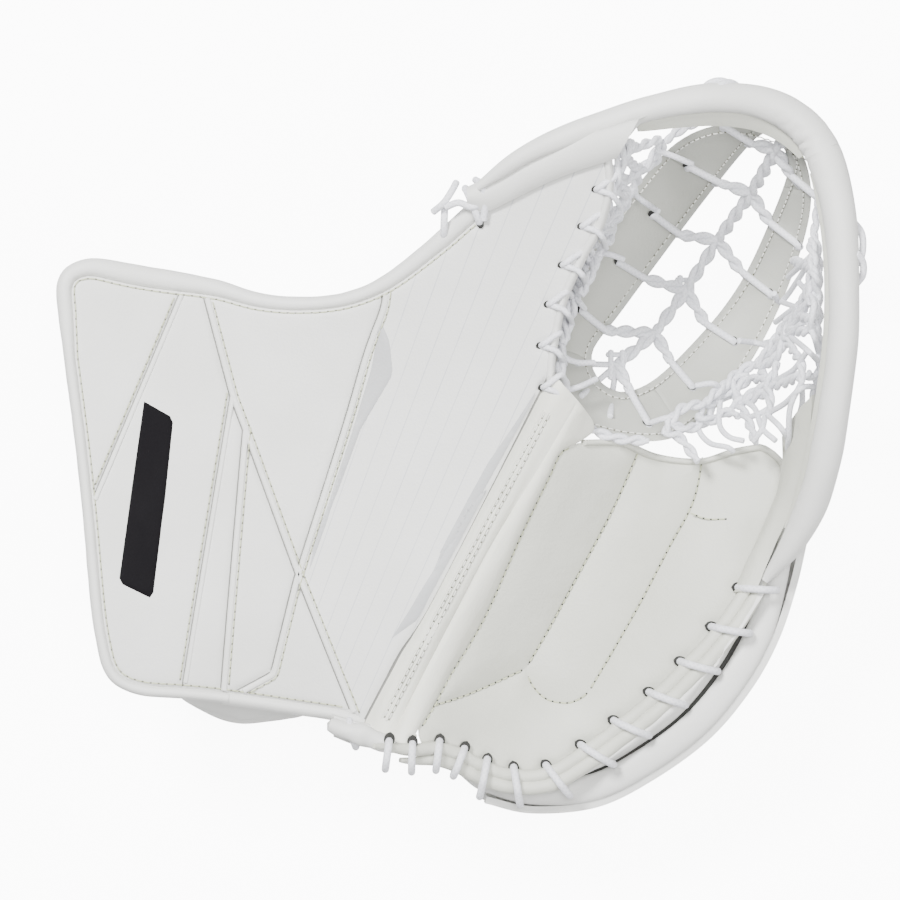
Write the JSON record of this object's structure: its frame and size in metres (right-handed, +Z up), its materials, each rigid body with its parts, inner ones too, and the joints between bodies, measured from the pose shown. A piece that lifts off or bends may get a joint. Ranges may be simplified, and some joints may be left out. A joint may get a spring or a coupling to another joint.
{
  "type": "goalie catch glove",
  "caption": "White leather ice hockey goalkeeper's catch glove with a flared cuff, stitched palm, round bead rim and a laced net pocket on a slotted leather spine.",
  "frame": {"origin": "middle of the glove's footprint, on the surface it lies on, back of the hand down", "axes": "+X from the cuff to the finger tips, +Y towards the thumb side, +Z up out of the catching face"},
  "size_m": [0.3817, 0.3445, 0.1648],
  "materials": {
    "leather_white": "satin",
    "leather_palm": "satin",
    "leather_cream": "matte",
    "grey_accent": "satin",
    "badge_black": "satin",
    "lace_cord": "matte",
    "lining_fabric": "matte",
    "foam": "matte",
    "board_core": "matte",
    "webbing": "matte",
    "ring_plastic": "satin"
  },
  "bodies": {
    "cuff_thumb": {"cuff_board": "board_core", "cuff_liner": "lining_fabric", "cuff_panel_corner": "leather_white", "cuff_panel_emblem": "leather_white", "cuff_panel_strip": "leather_white", "cuff_panel_inlay": "leather_white", "cuff_panel_centre": "leather_white", "cuff_panel_heel": "leather_white", "thumb_face_panel": "leather_white", "thumb_wedge": "grey_accent", "thumb_accent": "grey_accent", "cuff_badge": "badge_black", "cuff_binding": "leather_white", "heel_roll": "leather_white", "thumb_lip": "leather_white", "bead_thumb_side": "leather_white", "thumb_stall": "lining_fabric", "thumb_back_pad": "leather_white", "thumb_side_wall": "leather_white", "cuff_side_gusset": "leather_white", "wrist_pad": "leather_white", "strap_anchor": "webbing", "wrist_strap": "webbing", "thumb_lace_lower": "lace_cord", "thumb_lace_upper": "lace_cord", "heel_lace": "lace_cord", "break_strip_thumb": "leather_cream", "thumb_net": "lace_cord"},
    "pocket_spine": {"spine_base": "leather_palm", "spine_band_thumb": "leather_palm", "spine_band_finger": "leather_palm", "spine_top": "leather_palm", "slot_lacing": "lace_cord", "bead_corner": "leather_white"},
    "palm_fingers": {"palm_panel_inner": "leather_palm", "palm_panel_middle": "leather_palm", "palm_panel_fingers": "leather_palm", "palm_panel_heel": "leather_palm", "palm_foam": "foam", "palm_edge_roll": "leather_palm", "palm_lace": "lace_cord", "finger_lip": "leather_palm", "break_strip_palm": "leather_cream", "backhand_board": "leather_white", "finger_board": "leather_white", "backhand_pad": "lining_fabric", "finger_stall_index": "lining_fabric", "finger_stall_middle": "lining_fabric", "finger_stall_ring": "lining_fabric", "finger_stall_little": "lining_fabric", "hand_strap": "webbing", "bead_finger_side": "leather_white", "finger_net": "lace_cord"},
    "strap_ring": {"strap_ring": "ring_plastic"},
    "wrist_strap_flap": {"wrist_strap_flap": "leather_white"}
  },
  "joints": [
    {"name": "break_fold_thumb", "type": "hinge", "parent": "cuff_thumb", "child": "pocket_spine", "pos_m": [-0.04, -0.134, 0.099], "axis": [-0.5625, -0.8149, -0.1399], "range_deg": [0, 27]},
    {"name": "break_fold_palm", "type": "hinge", "parent": "pocket_spine", "child": "palm_fingers", "pos_m": [-0.04, -0.134, 0.099], "axis": [-0.5625, -0.8149, -0.1399], "range_deg": [0, 27]},
    {"name": "strap_ring_swing", "type": "hinge", "parent": "cuff_thumb", "child": "strap_ring", "pos_m": [-0.106, 0.033, 0.0605], "axis": [1, 0, 0], "range_deg": [-18, 18]},
    {"name": "wrist_strap_peel", "type": "hinge", "parent": "cuff_thumb", "child": "wrist_strap_flap", "pos_m": [-0.106, 0.0378, 0.048], "axis": [1, 0, 0], "range_deg": [0, 95]}
  ],
  "couplings": [
    {"joint": "break_fold_palm", "follows": "break_fold_thumb", "ratio": 1}
  ]
}
